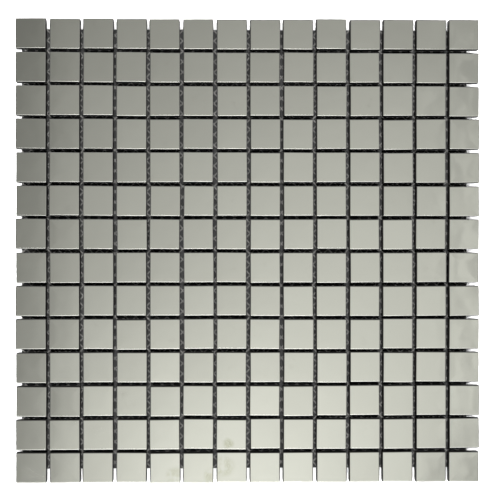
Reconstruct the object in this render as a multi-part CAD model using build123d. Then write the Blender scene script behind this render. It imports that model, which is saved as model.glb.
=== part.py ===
from build123d import *
import math
import os
import random

# A mosaic sheet: square steel-faced tiles in rows, held at an even joint by a net glued to their backs.
# The sheet lies on its back. The origin is under its middle, +X along a row and +Y from row to row.

# Tiles, in millimetres; the bend along the top edges is made of a few flats
TILE_SIDE = 19.8
TILE_HEIGHT = 7.4
EDGE_RADIUS = 0.6
EDGE_FLATS = 5
JOINT = 2.0
COLUMNS = 14
ROWS = 14

# How far a hand-laid tile strays from its place, in millimetres, and from square, in degrees
STRAY = 0.3
STRAY_TURN = 0.5
STRAY_SEED = 14

# Net, in millimetres and degrees: flat strands in two layers that cross on the bias
STRAND_PITCH = 4.84
STRAND_WIDTH = 1.0
STRAND_HEIGHT = 0.3
NET_TURN = 45.0
NET_CROSSING = 90.0

# How far the cut edges of the net stop short of the sheet's edges
NET_INSET_LEFT = 3.0
NET_INSET_RIGHT = 7.0
NET_INSET_BACK = 6.0
NET_INSET_FRONT = 8.5

# Worked out from the sizes above
TILE_PITCH = TILE_SIDE + JOINT
SHEET_WIDTH = COLUMNS * TILE_PITCH - JOINT
SHEET_DEPTH = ROWS * TILE_PITCH - JOINT
NET_WIDTH = SHEET_WIDTH - NET_INSET_LEFT - NET_INSET_RIGHT
NET_DEPTH = SHEET_DEPTH - NET_INSET_BACK - NET_INSET_FRONT
NET_MIDDLE = Pos((NET_INSET_LEFT - NET_INSET_RIGHT) / 2, (NET_INSET_FRONT - NET_INSET_BACK) / 2)
LOWER_LAYER = 0.0
UPPER_LAYER = LOWER_LAYER + STRAND_HEIGHT
TILE_BACK = UPPER_LAYER + STRAND_HEIGHT


# One tile, its flat back at height zero: the same side view from both ways, bent over along the top edges
def make_tile():
    half = TILE_SIDE / 2
    right_side = [(half, 0)]
    for step in range(EDGE_FLATS + 1):
        angle = math.radians(90 * step / EDGE_FLATS)
        out = half - EDGE_RADIUS * (1 - math.cos(angle))
        up = TILE_HEIGHT - EDGE_RADIUS * (1 - math.sin(angle))
        right_side.append((out, up))
    left_side = [(-out, up) for out, up in reversed(right_side)]
    side_view = Plane.XZ * make_face(Polyline(*right_side, *left_side, close=True))
    prism = extrude(side_view, half, both=True)
    return prism & Rot(0, 0, 90) * prism


# The places of the tiles row by row, from the back row to the front one, each strayed a little
def tile_places():
    hand = random.Random(STRAY_SEED)
    for row in range(ROWS):
        y = (ROWS - 1) * TILE_PITCH / 2 - row * TILE_PITCH
        places = []
        for column in range(COLUMNS):
            x = column * TILE_PITCH - (COLUMNS - 1) * TILE_PITCH / 2
            off_x = hand.uniform(-STRAY, STRAY)
            off_y = hand.uniform(-STRAY, STRAY)
            turn = hand.uniform(-STRAY_TURN, STRAY_TURN)
            places.append(Pos(x + off_x, y + off_y, TILE_BACK) * Rot(0, 0, turn))
        yield places


# One layer of parallel strands, cut off along the net's outline; scraps shorter than a cell fall away
def make_strands(turn, level):
    outline = NET_MIDDLE * Rectangle(NET_WIDTH, NET_DEPTH)
    reach = math.hypot(NET_WIDTH, NET_DEPTH)
    each_side = math.ceil(reach / 2 / STRAND_PITCH)
    strands = []
    for step in range(-each_side, each_side + 1):
        place = NET_MIDDLE * Rot(0, 0, turn) * Pos(0, step * STRAND_PITCH)
        strip = outline & place * Rectangle(reach, STRAND_WIDTH)
        for flat in strip.faces() if strip else []:
            if flat.area > STRAND_WIDTH * STRAND_PITCH:
                strands += (Pos(0, 0, level) * extrude(flat, STRAND_HEIGHT)).solids()
    return strands


# One file for each row of tiles and each layer of the net
os.makedirs("parts", exist_ok=True)
tile = make_tile()
for row, places in enumerate(tile_places(), start=1):
    tiles = [(place * tile).solid() for place in places]
    export_step(Compound(children=tiles), f"parts/tile_row_{row:02d}.step")
net_layers = {
    "net_lower_strands": make_strands(NET_TURN, LOWER_LAYER),
    "net_upper_strands": make_strands(NET_TURN + NET_CROSSING, UPPER_LAYER),
}
for name, strands in net_layers.items():
    export_step(Compound(children=strands), f"parts/{name}.step")
    print(name, len(strands), "strands")
print("sheet", SHEET_WIDTH, "by", SHEET_DEPTH, "by", TILE_BACK + TILE_HEIGHT, "mm")
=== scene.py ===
# %% [markdown]
# # A mosaic sheet of polished steel tiles
# A mosaic sheet is about a foot square: rows of small tiles that a net on their backs holds at an even
# joint, so that a tiler lays them all at once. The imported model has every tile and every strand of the
# net in its place. This lesson keeps those places and gives the pieces their bends, yarns and finishes.

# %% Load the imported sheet
import math
import random

import bmesh
import bpy
from mathutils import Matrix, Vector


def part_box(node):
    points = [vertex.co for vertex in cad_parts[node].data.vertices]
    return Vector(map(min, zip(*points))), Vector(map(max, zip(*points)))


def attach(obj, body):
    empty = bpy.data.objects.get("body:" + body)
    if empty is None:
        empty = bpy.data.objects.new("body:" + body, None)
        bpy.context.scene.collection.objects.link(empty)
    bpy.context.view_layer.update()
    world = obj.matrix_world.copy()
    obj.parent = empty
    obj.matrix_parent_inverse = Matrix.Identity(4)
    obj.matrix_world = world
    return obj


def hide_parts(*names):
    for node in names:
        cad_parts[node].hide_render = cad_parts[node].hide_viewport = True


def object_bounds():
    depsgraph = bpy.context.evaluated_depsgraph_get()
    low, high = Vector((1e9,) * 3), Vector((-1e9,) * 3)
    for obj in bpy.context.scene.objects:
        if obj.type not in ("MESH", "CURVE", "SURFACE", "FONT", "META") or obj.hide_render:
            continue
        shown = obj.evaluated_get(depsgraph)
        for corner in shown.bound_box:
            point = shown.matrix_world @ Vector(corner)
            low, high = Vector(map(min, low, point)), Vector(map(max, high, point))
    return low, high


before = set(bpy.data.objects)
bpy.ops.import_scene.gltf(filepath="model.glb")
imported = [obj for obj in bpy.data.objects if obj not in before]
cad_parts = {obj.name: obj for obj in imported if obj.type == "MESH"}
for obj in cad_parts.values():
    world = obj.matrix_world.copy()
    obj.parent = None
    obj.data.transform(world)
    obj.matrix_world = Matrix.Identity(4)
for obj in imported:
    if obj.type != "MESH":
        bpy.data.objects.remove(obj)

CAD_LOW, CAD_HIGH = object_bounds()
MM = 0.001
print("sheet, mm:", [round(length / MM, 1) for length in CAD_HIGH - CAD_LOW])

# %% [markdown]
# ## Reading the places of the solids
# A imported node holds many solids: a row of tiles, or one layer of strands. Their places could be typed in
# again, but then two files would have to agree. Walking over the mesh from corner to corner finds each
# solid by itself. The walk is made on a welded copy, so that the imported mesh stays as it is.

# %% Find the separate solids of a node
WELD = 0.001 * MM


def solids_of(node):
    welded = bmesh.new()
    welded.from_mesh(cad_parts[node].data)
    bmesh.ops.remove_doubles(welded, verts=welded.verts, dist=WELD)
    for corner in welded.verts:
        corner.tag = False
    found = []
    for start in welded.verts:
        if start.tag:
            continue
        start.tag = True
        waiting = [start]
        solid = []
        while waiting:
            corner = waiting.pop()
            solid.append(corner.co.copy())
            for edge in corner.link_edges:
                other = edge.other_vert(corner)
                if not other.tag:
                    other.tag = True
                    waiting.append(other)
        found.append(solid)
    welded.free()
    return found


ROW_NODES = sorted(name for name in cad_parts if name.startswith("tile_row"))
print("rows:", len(ROW_NODES), "tiles in the first:", len(solids_of(ROW_NODES[0])))

# %% [markdown]
# ## Stacks of rings
# Tiles and strands are built alike, as a stack of rings of points. Four-cornered faces join each ring to
# the next, and a flat cap closes each end. Blender's own tools could extrude such shapes, but plain lists
# of points and faces are quick and keep the face count known. The caps stay flat when they are shaded,
# and the faces between the rings are smooth.

# %% Make pieces from stacks of rings
QUAD_CORNERS = 4


def stack_faces(first, count, rings):
    faces = [[first + step for step in reversed(range(count))]]
    for level in range(rings - 1):
        low = first + level * count
        high = low + count
        for step in range(count):
            after = (step + 1) % count
            faces.append([low + step, low + after, high + after, high + step])
    last = first + (rings - 1) * count
    faces.append([last + step for step in range(count)])
    return faces


def new_piece(name, points, faces, materials):
    mesh = bpy.data.meshes.new(name)
    mesh.from_pydata(points, [], faces)
    for material in materials:
        mesh.materials.append(material)
    mesh.polygons.foreach_set("use_smooth", [len(face) == QUAD_CORNERS for face in faces])
    mesh.validate()
    piece = bpy.data.objects.new(name, mesh)
    bpy.context.scene.collection.objects.link(piece)
    return piece


print("faces of a plain box:", len(stack_faces(0, QUAD_CORNERS, 2)))

# %% [markdown]
# ## Shader maths as plain expressions
# A finish is a net of nodes. Adding and linking them one by one hides the sums that they do, so a small
# class stands for a value on its way through the net: adding or multiplying such values adds the Math
# nodes. Every other node comes from one method, which takes its type, its settings and its sockets.

# %% Values that build their own nodes
class Value:
    def __init__(self, net, socket):
        self.net = net
        self.socket = socket

    def sum_with(self, operation, first, second):
        return self.net.node("Math", {"operation": operation}, {0: first, 1: second})

    def __add__(self, other):
        return self.sum_with("ADD", self, other)

    def __radd__(self, other):
        return self.sum_with("ADD", other, self)

    def __sub__(self, other):
        return self.sum_with("SUBTRACT", self, other)

    def __rsub__(self, other):
        return self.sum_with("SUBTRACT", other, self)

    def __mul__(self, other):
        return self.sum_with("MULTIPLY", self, other)

    def __rmul__(self, other):
        return self.sum_with("MULTIPLY", other, self)

    def __truediv__(self, other):
        return self.sum_with("DIVIDE", self, other)

    def __pow__(self, other):
        return self.sum_with("POWER", self, other)

    def at_least(self, other):
        return self.sum_with("MAXIMUM", self, other)

    def exponent(self):
        return self.net.node("Math", {"operation": "EXPONENT"}, {0: self})

    def rise(self, low, high):
        sockets = {"Value": self, "From Min": low, "From Max": high}
        return self.net.node("MapRange", {"interpolation_type": "SMOOTHSTEP"}, sockets)


class Finish:
    def __init__(self, tree):
        self.tree = tree
        tree.nodes.clear()

    def node(self, kind, settings=None, sockets=None, out=0):
        made = self.tree.nodes.new("ShaderNode" + kind)
        for name, setting in (settings or {}).items():
            setattr(made, name, setting)
        for name, value in (sockets or {}).items():
            if isinstance(value, Value):
                self.tree.links.new(value.socket, made.inputs[name])
            else:
                made.inputs[name].default_value = value
        return Value(self, made.outputs[out]) if made.outputs else None

    def noise(self, place, size, detail):
        sockets = {"Vector": place, "Scale": 1 / size, "Detail": detail}
        return self.node("TexNoise", {}, sockets)

    def blend(self, amount, first, second):
        sockets = {"Factor": amount, 6: first, 7: second}
        return self.node("Mix", {"data_type": "RGBA"}, sockets, out=2)


def new_finish(name):
    material = bpy.data.materials.new(name)
    material.use_nodes = True
    return material, Finish(material.node_tree)


def close_finish(finish, sockets):
    surface = finish.node("BsdfPrincipled", {}, sockets)
    finish.node("OutputMaterial", {}, {"Surface": surface})


print("shader classes:", Value.__name__, Finish.__name__)

# %% [markdown]
# ## Polished steel
# The faces are mirror-polished stainless steel: a metal with a slightly warm grey colour and almost no
# blur. A perfect mirror looks like a hole in the picture, so small faults make it steel: a haze from
# handling that blurs the mirror in speckled patches, a slow ripple of the thin sheet, and a tone that
# differs a little from tile to tile, stored on the mesh as a number for each face. A few fingers have also
# touched the front tiles: each smear is a place and a size in millimetres and a strength, and noise makes
# its edge uneven.

# %% The finish of the faces
STEEL = (0.615, 0.619, 0.583, 1)
STEEL_HAZED = (0.56, 0.558, 0.521, 1)
STEEL_SMEARED = (0.50, 0.505, 0.42, 1)
POLISH_BLUR = 0.035
TONE = "tile_tone"
TONE_TINT = 0.35
HAZE_SIZE = 14 * MM
HAZE_RANGE = (0.45, 0.75)
HAZE_BLUR = 0.05
SPECKLE_SIZE = 6 * MM
SPECKLE_RANGE = (0.55, 0.80)
SPECKLE_TINT = 0.5
SPECKLE_BLUR = 0.07
RIPPLE_SIZE = 9 * MM
RIPPLE_HEIGHT = 0.012 * MM
SMEARS = ((-13, -126, 5, 1.0), (-48, -147, 8, 0.75), (-24, -147, 7, 0.8), (-16, -141, 9, 0.8))
SMEAR_CORE = 0.25
SMEAR_GRAIN = 5 * MM
SMEAR_RANGE = (0.25, 0.65)
SMEAR_TINT = 0.85
SMEAR_BLUR = 0.12


def finger_smears(finish, place):
    touched = 0
    for x, y, size, strength in SMEARS:
        spot = (x * MM, y * MM, CAD_HIGH.z)
        far = finish.node("VectorMath", {"operation": "DISTANCE"}, {0: place, 1: spot}, out="Value")
        touched = touched + strength * (1 - far.rise(SMEAR_CORE * size * MM, size * MM))
    return touched * finish.noise(place, SMEAR_GRAIN, detail=1.0).rise(*SMEAR_RANGE)


def make_polished_steel():
    material, finish = new_finish("polished_steel")
    place = finish.node("TexCoord", out="Object")
    tone = finish.node("Attribute", {"attribute_name": TONE}, out="Fac")
    haze = finish.noise(place, HAZE_SIZE, detail=4.0).rise(*HAZE_RANGE)
    speckle = haze * finish.noise(place, SPECKLE_SIZE, detail=5.0).rise(*SPECKLE_RANGE)
    smeared = finger_smears(finish, place)
    hazed = finish.blend(SPECKLE_TINT * speckle + TONE_TINT * tone, STEEL, STEEL_HAZED)
    colour = finish.blend(SMEAR_TINT * smeared, hazed, STEEL_SMEARED)
    roughness = POLISH_BLUR + HAZE_BLUR * haze + SPECKLE_BLUR * speckle + SMEAR_BLUR * smeared
    ripple = finish.noise(place, RIPPLE_SIZE, detail=0.0)
    normal = finish.node("Bump", {}, {"Height": ripple, "Distance": RIPPLE_HEIGHT, "Strength": 1.0})
    sockets = {"Base Color": colour, "Metallic": 1.0, "Roughness": roughness, "Normal": normal}
    close_finish(finish, sockets)
    return material


polished_steel = make_polished_steel()
print("made", polished_steel.name, "with", len(SMEARS), "smears")

# %% [markdown]
# ## The dark sides, and painted dark edges
# Below the bent edge the sides of the tiles are dull and dark: in the joints they swallow the light, and that
# is why the joints across the light look black. The same near-black finish covers the outer part of each
# bend. There it is painted shade: a dark line along each edge, in place of the dark surroundings that the
# steel bend would reflect. A plain black would do from above, but from the side it looks like a hole. A rough
# dark surface with clouds of a lighter grey still reads as a material.

# %% The finish of the sides and backs, and of the painted dark edges
SIDE_DARK = (0.0025, 0.0025, 0.0022, 1)
SIDE_PALE = (0.008, 0.0077, 0.007, 1)
SIDE_GRAIN = 1.5 * MM
SIDE_RANGE = (0.35, 0.75)
SIDE_RELIEF = 0.03 * MM
SIDE_RELIEF_SHARE = 0.5
SIDE_BLUR = 0.6
SIDE_GRAIN_BLUR = 0.2
SIDE_SHINE = 0.15


def make_side_and_edge_shade():
    material, finish = new_finish("side_and_edge_shade")
    place = finish.node("TexCoord", out="Object")
    grain = finish.noise(place, SIDE_GRAIN, detail=4.0)
    colour = finish.blend(grain.rise(*SIDE_RANGE), SIDE_DARK, SIDE_PALE)
    roughness = SIDE_BLUR + SIDE_GRAIN_BLUR * grain
    relief = {"Height": grain, "Distance": SIDE_RELIEF, "Strength": SIDE_RELIEF_SHARE}
    normal = finish.node("Bump", {}, relief)
    sockets = {"Base Color": colour, "Roughness": roughness, "Normal": normal}
    close_finish(finish, {**sockets, "Specular IOR Level": SIDE_SHINE})
    return material


side_and_edge_shade = make_side_and_edge_shade()
print("made", side_and_edge_shade.name)

# %% [markdown]
# ## One tile
# A tile is a stack of square rings, from its back up the sides, over the bend and in to the middle of the
# face. A bevelled cube would do, but rings say exactly where the bend begins and ends, and where the mirror
# steel stops, a little way past the middle of the bend. Outside that point the bend takes the near-black
# finish of the sides. This is painted shade: a dark line along each edge, in place of the dark surroundings
# that a steel bend would reflect. Two rings lie close together at each end of the bend: smooth shading then
# turns only there, and the face stays flat.

# %% The rings of a tile
CORNER_RADIUS = 0.25 * MM
CORNER_STEPS = 3
CORNER_KEPT = 0.3
BACK_EASE = 0.25 * MM
BEND_STEPS = 10
BEND_HOLD = 0.04 * MM
DARK_EDGE_ENDS = 0.7
FACE_RINGS = 4
CROWN_POWER = 4


def square_ring(half, corner, height):
    ring = []
    for quarter in range(4):
        turned = Matrix.Rotation(quarter * math.pi / 2, 2)
        for step in range(CORNER_STEPS + 1):
            angle = step / CORNER_STEPS * math.pi / 2
            x = half - corner + corner * math.cos(angle)
            y = half - corner + corner * math.sin(angle)
            spot = turned @ Vector((x, y))
            ring.append(Vector((spot.x, spot.y, height)))
    return ring


def tile_rings(side, height, bend, crown):
    half = side / 2
    bend_start = height - bend
    rings = [(square_ring(half - BACK_EASE, CORNER_RADIUS, 0), False)]
    for level in (BACK_EASE, bend_start - BEND_HOLD):
        rings.append((square_ring(half, CORNER_RADIUS, level), False))
    # Bend rings short of the mirror steel take the near-black side finish: a painted dark line along each
    # edge, in place of the bend's dark reflection.
    for step in range(BEND_STEPS + 1):
        share = step / BEND_STEPS
        inset = bend * (1 - math.cos(share * math.pi / 2))
        level = bend_start + bend * math.sin(share * math.pi / 2) - crown
        corner = CORNER_RADIUS * (1 - (1 - CORNER_KEPT) * inset / bend)
        rings.append((square_ring(half - inset, corner, level), share >= DARK_EDGE_ENDS))
    flat = half - bend - BEND_HOLD
    for step in range(FACE_RINGS):
        share = 1 - step / FACE_RINGS
        corner = CORNER_KEPT * CORNER_RADIUS * share
        level = height - crown * share ** CROWN_POWER
        rings.append((square_ring(flat * share, corner, level), True))
    return rings


print("points in a ring:", len(square_ring(1, CORNER_RADIUS, 0)))

# %% [markdown]
# ## The place of a tile
# Each tile was pressed into place by hand, so it lies a little off the grid and a little turned. Its back
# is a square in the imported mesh, and the corners of that square give its middle, its turn and its side. The
# corners of the flat face give the bend. On a real sheet a tile also leans a hair out of level. That can't
# be seen by itself, but it moves the mirror image, so a small random lean is added to the turn.

# %% Read a tile's place and let it lean
LEAN = math.radians(0.17)
luck = random.Random(196)


def tile_place(solid):
    back = min(corner.z for corner in solid)
    top = max(corner.z for corner in solid)
    corners = [corner for corner in solid if corner.z - back < WELD]
    middle = sum(corners, Vector()) / len(corners)
    far = max(corners, key=lambda corner: corner.x + corner.y) - middle
    turn = math.atan2(far.y, far.x) - math.pi / 4
    face = max((corner - middle).to_2d().length for corner in solid if top - corner.z < WELD)
    side = far.length * math.sqrt(2)
    bend = (far.length - face) / math.sqrt(2)
    return middle, turn, (side, top - back, bend)


def lean_and_turn(middle, turn):
    tip = Matrix.Rotation(luck.gauss(0, LEAN), 4, "X") @ Matrix.Rotation(luck.gauss(0, LEAN), 4, "Y")
    return Matrix.Translation(middle) @ Matrix.Rotation(turn, 4, "Z") @ tip


first_tile = tile_place(solids_of(ROW_NODES[0])[0])
print("side, height and bend of a tile, mm:", [round(size / MM, 2) for size in first_tile[2]])

# %% [markdown]
# ## Rows of tiles
# Each row is one piece, joined from its tiles. Copies of one tile would be lighter, but then all of them
# would show the same mirror image. Here every tile gets its own lean, a face that is crowned by a touch,
# and its own tone. The seed of the random numbers keeps every run alike.

# %% Build the rows
CROWN_MOST = 0.02 * MM


def build_row(node):
    points = []
    faces = []
    steel = []
    tones = []
    for solid in solids_of(node):
        middle, turn, size = tile_place(solid)
        place = lean_and_turn(middle, turn)
        rings = tile_rings(*size, luck.uniform(0, CROWN_MOST))
        tone = luck.random()
        made = stack_faces(len(points), len(rings[0][0]), len(rings))
        points.extend(place @ spot for ring, polished in rings for spot in ring)
        faces.extend(made)
        steel.append(False)
        steel.extend(polished for ring, polished in rings[:-1] for spot in ring)
        steel.append(True)
        tones.extend([tone] * len(made))
    piece = new_piece(node + "_tiles", points, faces, [polished_steel, side_and_edge_shade])
    piece.data.polygons.foreach_set("material_index", [0 if polished else 1 for polished in steel])
    piece.data.attributes.new(TONE, "FLOAT", "FACE").data.foreach_set("value", tones)
    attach(piece, "root")
    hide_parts(node)
    return piece


rows = [build_row(node) for node in ROW_NODES]
print("rows:", len(rows), "faces in a row:", len(rows[0].data.polygons))

# %% [markdown]
# ## The yarn of the net
# The net is coarse yarn, coated so that it stays open. It lies in the shade at the bottom of the joints,
# where it shows as slanted strokes. Its colour is the dark grey that it shows there. This is painted shade,
# kept dark like the floor patch under it, because the lamps shine strongly down the joints. Real fibres would
# be far too many to model, so fine streaks along each strand stand for them: a noise stretched in the
# strand's direction, over slower clumps. The two layers cross, so each has its own direction and its own
# finish.

# %% The finish of the strands
# The yarn tones hold painted shade: the dark grey that the net shows at the bottom of the joints.
YARN_DARK = (0.1, 0.098, 0.094, 1)
YARN_PALE = (0.19, 0.187, 0.179, 1)
YARN_RANGE = (0.35, 0.7)
YARN_BLUR = 0.6
YARN_SHINE = 0.25
FIBRE_WIDTH = 0.12 * MM
FIBRE_STRETCH = 12
FIBRE_SHARE = 0.7
FIBRE_BLUR = 0.3
FIBRE_RELIEF = 0.05 * MM
FIBRE_RELIEF_SHARE = 0.8
CLUMP_SIZE = 4 * MM


def make_yarn(name, along):
    material, finish = new_finish(name)
    place = finish.node("TexCoord", out="Object")
    turn = (0, 0, -math.atan2(along.y, along.x))
    turned = finish.node("Mapping", {}, {"Vector": place, "Rotation": turn})
    squeeze = (1 / FIBRE_STRETCH, 1, 1)
    stretched = finish.node("Mapping", {}, {"Vector": turned, "Scale": squeeze})
    fibre = finish.noise(stretched, FIBRE_WIDTH, detail=3.0)
    clump = finish.noise(place, CLUMP_SIZE, detail=2.0)
    streaks = (FIBRE_SHARE * fibre + (1 - FIBRE_SHARE) * clump).rise(*YARN_RANGE)
    colour = finish.blend(streaks, YARN_DARK, YARN_PALE)
    roughness = YARN_BLUR + FIBRE_BLUR * fibre
    relief = {"Height": fibre, "Distance": FIBRE_RELIEF, "Strength": FIBRE_RELIEF_SHARE}
    normal = finish.node("Bump", {}, relief)
    sockets = {"Base Color": colour, "Roughness": roughness, "Normal": normal}
    close_finish(finish, {**sockets, "Specular IOR Level": YARN_SHINE})
    return material


print("fibre streaks, mm:", round(FIBRE_WIDTH / MM, 2), "by", round(FIBRE_STRETCH * FIBRE_WIDTH / MM, 2))

# %% [markdown]
# ## The line of a strand
# The net was cut to size after it was made, so its strands end in slanted cuts along the net's edges. The
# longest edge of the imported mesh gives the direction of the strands. Each strand's two long sides end at
# different places, and a straight line from one end to the other is the cut. The ends could simply be
# square, but then the net's edge would look like a row of steps.

# %% Read the direction and the cuts of a strand
NET_NODES = ("net_lower_strands", "net_upper_strands")


def strand_direction(node):
    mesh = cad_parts[node].data
    ends = [[mesh.vertices[number].co for number in edge.vertices] for edge in mesh.edges]
    start, stop = max(ends, key=lambda pair: (pair[1] - pair[0]).length)
    return (stop - start).normalized()


def cut_line(corners, across, along, pick):
    middle = sum(corner.dot(across) for corner in corners) / len(corners)
    left = [corner.dot(along) for corner in corners if corner.dot(across) < middle]
    right = [corner.dot(along) for corner in corners if corner.dot(across) >= middle]
    return pick(left), pick(right)


for net_node in NET_NODES:
    print(net_node, "run along", [round(part, 3) for part in strand_direction(net_node)])

# %% [markdown]
# ## Strands
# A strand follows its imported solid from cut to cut. Its section is a flat oval, wider here and narrower
# there as yarn is. Its rings are half a cell of the net apart, and every other ring sags a little at the
# edges, between the strands that it crosses. Curves with a bevel could give the same tubes, but rings of
# points keep the slanted cuts.

# %% Build the two layers of strands
STRAND_SIDES = 8
STRAND_STEP = 2.42 * MM
FEWEST_STEPS = 2
STRAND_SAG = 0.04 * MM
STRAND_FILL = 0.98
WIDTH_CHANGE = 0.12


def strand_points(solid, along, across, low, high):
    offsets = [corner.dot(across) for corner in solid]
    middle = (min(offsets) + max(offsets)) / 2
    half_width = (max(offsets) - min(offsets)) / 2
    half_height = (high - low) / 2
    starts = cut_line(solid, across, along, min)
    stops = cut_line(solid, across, along, max)
    length = (sum(stops) - sum(starts)) / 2
    steps = max(FEWEST_STEPS, round(length / STRAND_STEP))
    points = []
    for step in range(steps + 1):
        share = step / steps
        wide = half_width * (1 - WIDTH_CHANGE * luck.random())
        sag = STRAND_SAG * (step % 2)
        for side in range(STRAND_SIDES):
            angle = (side + 0.5) / STRAND_SIDES * 2 * math.pi
            out = math.cos(angle)
            lean = (out + 1) / 2
            start = starts[0] + (starts[1] - starts[0]) * lean
            stop = stops[0] + (stops[1] - stops[0]) * lean
            height = low + half_height * (1 + STRAND_FILL * math.sin(angle)) - sag * (out * out)
            spot = along * (start + (stop - start) * share) + across * (middle + wide * out)
            points.append(Vector((spot.x, spot.y, max(height, low))))
    return points


def build_strands(node):
    along = strand_direction(node)
    across = Vector((-along.y, along.x, 0))
    low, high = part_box(node)
    points = []
    faces = []
    for solid in solids_of(node):
        strand = strand_points(solid, along, across, low.z, high.z)
        faces.extend(stack_faces(len(points), STRAND_SIDES, len(strand) // STRAND_SIDES))
        points.extend(strand)
    piece = new_piece(node + "_yarn", points, faces, [make_yarn(node + "_yarn", along)])
    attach(piece, "root")
    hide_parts(node)
    return piece


net_layers = [build_strands(node) for node in NET_NODES]
print("net faces:", [len(layer.data.polygons) for layer in net_layers])

# %% [markdown]
# ## Floor
# The sheet lies on a plain white floor, wide enough that its far edge stays out of a low view. Past the cut
# edges of the net the joints end in white notches, but under the net the floor lies in deep shade. The
# lamps that light the notches would light that floor too, and it would outshine the yarn, so a dark patch
# of the net's size stands for the shade. It shows only through the open cells of the net.

# %% Lay the floor
FLOOR_SIDE = 60.0
FLOOR_GREYEST = (0.84, 0.84, 0.84, 1)
FLOOR_PALEST = (0.86, 0.86, 0.86, 1)
FLOOR_SHADED = (0.034, 0.034, 0.034, 1)
FLOOR_CLOUD = 0.4
FLOOR_BLUR = 0.9
SHADE_SOFT = 0.3 * MM


def between(value, low, high):
    past_low = value.rise(low - SHADE_SOFT, low + SHADE_SOFT)
    return past_low * (1 - value.rise(high - SHADE_SOFT, high + SHADE_SOFT))


def make_white_floor():
    material, finish = new_finish("white_floor")
    place = finish.node("TexCoord", out="Object")
    pale = finish.blend(finish.noise(place, FLOOR_CLOUD, detail=2.0), FLOOR_GREYEST, FLOOR_PALEST)
    x, y = (finish.node("SeparateXYZ", {}, {"Vector": place}, out=axis) for axis in "XY")
    low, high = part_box("net_lower_strands")
    shaded = between(x, low.x, high.x) * between(y, low.y, high.y)
    colour = finish.blend(shaded, pale, FLOOR_SHADED)
    close_finish(finish, {"Base Color": colour, "Roughness": FLOOR_BLUR})
    return material


half_floor = FLOOR_SIDE / 2
floor_corners = [(-half_floor, -half_floor, 0), (half_floor, -half_floor, 0)]
floor_corners += [(half_floor, half_floor, 0), (-half_floor, half_floor, 0)]
floor = new_piece("floor", floor_corners, [(0, 1, 2, 3)], [make_white_floor()])
print("floor", FLOOR_SIDE, "m")

# %% [markdown]
# ## The sky overhead
# A mirror shows whatever is around it, so the sky is the picture. Straight above, two soft glows and a dim
# left side give the faces their slow change of tone. Far to the right hang soft folds, which the last
# tiles of the rows show as waves, and the front corner there is dimmer. A panorama of a real room could
# hang there instead, but sums keep each glow in its own few numbers. The places in them are slopes: how
# far across and ahead a line of sight has come when it is one metre up.

# %% Paint the sky overhead
LEAST_UP = 0.2
GLOW_BASE = 0.144
FRONT_GLOW = {"strength": 0.325, "x": 0.002, "y": -0.194, "size": 0.118}
RIGHT_GLOW = {"strength": 0.365, "x": 0.112, "y": -0.077, "size": 0.252}
LEFT_EDGE = -0.103
LEFT_SOFT = 0.022
LEFT_DIM = 0.26
FOLDS_START = 0.14
FOLDS_FULL = 0.172
FOLD_SIZE = 0.009
FOLD_STRETCH = 0.35
FOLD_RANGE = (0.42, 0.58)
FOLD_DEPTH = 0.24
CORNER_DIM = 0.2
CORNER_STARTS = 0.1
CORNER_FULL = 0.16
OVERHEAD_GAIN = 1.7


def glow(across, ahead, lamp):
    aside = across - lamp["x"]
    along = ahead - lamp["y"]
    far = (aside * aside + along * along) / lamp["size"] ** 2
    return lamp["strength"] * (0 - far).exponent()


world = bpy.data.worlds.new("studio")
world.use_nodes = True
bpy.context.scene.world = world
sky = Finish(world.node_tree)
direction = sky.node("TexCoord", out="Generated")
east, north, up = (sky.node("SeparateXYZ", {}, {"Vector": direction}, out=axis) for axis in "XYZ")
across = east / up.at_least(LEAST_UP)
ahead = north / up.at_least(LEAST_UP)
front_glow = glow(across, ahead.at_least(FRONT_GLOW["y"]), FRONT_GLOW)
right_glow = glow(across, ahead, RIGHT_GLOW)
dim_left = 1 - LEFT_DIM * (1 - across.rise(LEFT_EDGE - LEFT_SOFT, LEFT_EDGE + LEFT_SOFT))
far_right = across.rise(FOLDS_START, FOLDS_FULL)
dim_corner = 1 - CORNER_DIM * far_right * (0 - ahead).rise(CORNER_STARTS, CORNER_FULL)
hanging = sky.node("CombineXYZ", {}, {"X": across, "Y": FOLD_STRETCH * ahead})
fold = far_right * sky.noise(hanging, FOLD_SIZE, detail=1.0).rise(*FOLD_RANGE)
folded = 1 + FOLD_DEPTH * (far_right / 2 - fold)
glows = GLOW_BASE + front_glow + right_glow
overhead = OVERHEAD_GAIN * glows * dim_left * dim_corner * folded
print("sky nodes overhead:", len(world.node_tree.nodes))

# %% [markdown]
# ## The sky around
# Lower down, the faces show the sky only to a slanting view, but the bent edges show it always. A narrow
# bright strip hangs in front, for the glint along the front edges, and the band that it hangs in is dark
# on the other sides, for dark lines along the edges there. Below the band is a softly lit room, which the
# faces show to a low view. Four lit walls could stand around the sheet, but they would light the floor
# too. Here the four sides are shares of the compass direction, which add up to one all the way round.

# %% Paint the sky around
LEAST_LEVEL = 0.01
BAND = {"front": 0.9, "right": 0.22, "back": 0.25, "left": 0.1}
GLINT = 11.0
GLINT_POWER = 4
GLINT_STARTS = 0.92
GLINT_FULL = 0.935
ROOM = {"front": 0.85, "right": 0.75, "back": 0.7, "left": 0.62}
ROOM_CLOUD = 0.25
CLOUD_RANGE = (0.35, 0.65)
CLOUD_LEAST = 0.75
CLOUD_GAIN = 0.5

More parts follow.
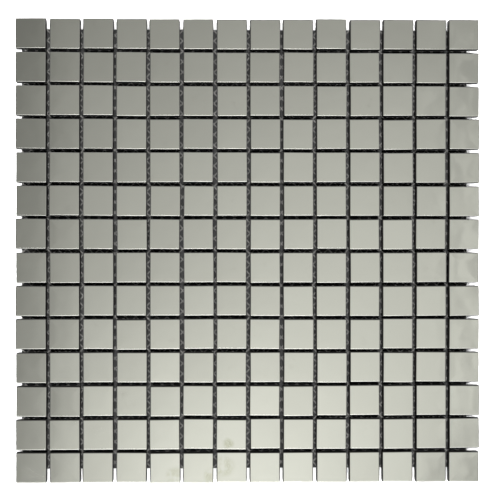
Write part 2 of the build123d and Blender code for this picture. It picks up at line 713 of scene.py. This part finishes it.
level = (1 - up * up).at_least(LEAST_LEVEL)
sides = {"front": 0 - north, "right": east, "back": north, "left": 0 - east}
shares = {side: towards.at_least(0) ** 2 / level for side, towards in sides.items()}
strip = GLINT * shares["front"] ** GLINT_POWER * up.rise(GLINT_STARTS, GLINT_FULL)
band = sum(BAND[side] * share for side, share in shares.items()) + strip
cloud = sky.noise(direction, ROOM_CLOUD, detail=1.0).rise(*CLOUD_RANGE)
walls = sum(ROOM[side] * share for side, share in shares.items())
room = walls * (CLOUD_LEAST + CLOUD_GAIN * cloud)
print("sky nodes with the band and the room:", len(world.node_tree.nodes))

# %% [markdown]
# ## Joining the sky
# The parts of the sky lie one above the other, and a white skyline at the bottom hides the end of the
# floor. How far up a line of sight points decides what it meets. A colour ramp could do this, but soft
# steps between named heights are easier to change. The sky is kept for the mirror: it would make the
# joints grey, so matt surfaces get none of its light.

# %% Join the parts of the sky
OVERHEAD_TINT = (1, 1.005, 0.94, 1)
AROUND_TINT = (1, 1, 1, 1)
OVERHEAD_STARTS = 0.95
OVERHEAD_FULL = 0.968
BAND_STARTS = 0.8
BAND_FULL = 0.88
SKYLINE = 1.02
SKYLINE_FULL = 0.04
SKYLINE_ENDS = 0.2

in_overhead = up.rise(OVERHEAD_STARTS, OVERHEAD_FULL)
in_band = up.rise(BAND_STARTS, BAND_FULL)
in_room = up.rise(SKYLINE_FULL, SKYLINE_ENDS)
lower = room * in_room + SKYLINE * (1 - in_room)
around = band * in_band + lower * (1 - in_band)
strength = overhead * in_overhead + around * (1 - in_overhead)
colour = sky.blend(in_overhead, AROUND_TINT, OVERHEAD_TINT)
shine = sky.node("Background", {}, {"Color": colour, "Strength": strength})
sky.node("OutputWorld", {}, {"Surface": shine})
world.cycles_visibility.diffuse = False
print("sky nodes in all:", len(world.node_tree.nodes))

# %% [markdown]
# ## Lamps
# The sky lights nothing that is matt, so lamps do. Two low lamps stand on the left and two on the right,
# each a little off the line of the rows: they light the floor and the notches at the ends of the rows, but
# hardly reach the net between them. Two higher lamps, one in front and one behind, shine down along the
# other joints, so that the net shows there and the notches at their ends are white. One lamp overhead
# would be simpler, but would light all the joints alike. The mirror must not show any lamp, so all of them
# are hidden from glossy rays.

# %% Set up the lamps
SIDE_LAMPS = {"side_lamp_1": 75, "side_lamp_2": 105, "side_lamp_3": 255, "side_lamp_4": 285}
SIDE_STRENGTH = 7.6
SIDE_HEIGHT = 30
SIDE_SPREAD = 16
JOINT_LAMPS = {"front_lamp": 0, "back_lamp": 180}
JOINT_STRENGTH = 4.3
JOINT_HEIGHT = 55
JOINT_SPREAD = 26


def place_lamp(name, bearing, height, spread, strength):
    lamp_data = bpy.data.lights.new(name, "SUN")
    lamp_data.energy = strength
    lamp_data.angle = math.radians(spread)
    lamp = bpy.data.objects.new(name, lamp_data)
    bpy.context.scene.collection.objects.link(lamp)
    lamp.rotation_euler = (math.radians(90 - height), 0, math.radians(bearing))
    lamp.visible_glossy = False
    return lamp


lamps = []
for name, bearing in SIDE_LAMPS.items():
    lamps.append(place_lamp(name, bearing, SIDE_HEIGHT, SIDE_SPREAD, SIDE_STRENGTH))
for name, bearing in JOINT_LAMPS.items():
    lamps.append(place_lamp(name, bearing, JOINT_HEIGHT, JOINT_SPREAD, JOINT_STRENGTH))
print("lamps:", [lamp.name for lamp in lamps])

# %% [markdown]
# ## Camera
# The picture looks straight down from about a metre, from a little left of the middle, so the camera
# stands there and is aimed at the middle of the frame. A view without perspective would be simpler, but a
# real lens shows a thin line of the tiles' sides towards the edges. Its length follows from the frame's
# width.

# %% Set up the camera
CAMERA_HEIGHT = 1.0
CAMERA_X = -0.028
CAMERA_Y = 0.003
AIM = Vector((0.001, 0.0006, CAD_HIGH.z))
PICTURE_TOP = Vector((0, 1, 0))
FRAME_WIDTH = 0.327
SENSOR = 36.0
camera_data = bpy.data.cameras.new("camera")
camera = bpy.data.objects.new("camera", camera_data)
bpy.context.scene.collection.objects.link(camera)
camera.location = Vector((CAMERA_X, CAMERA_Y, CAD_HIGH.z + CAMERA_HEIGHT))
sight = AIM - camera.location
behind = -sight.normalized()
sideways = PICTURE_TOP.cross(behind).normalized()
upward = behind.cross(sideways)
camera.rotation_euler = Matrix((sideways, upward, behind)).transposed().to_euler()
camera_data.sensor_width = SENSOR
camera_data.lens = SENSOR * sight.length / FRAME_WIDTH
bpy.context.scene.camera = camera
bpy.context.scene.view_settings.view_transform = "Standard"
print("lens, mm:", round(camera_data.lens, 1))
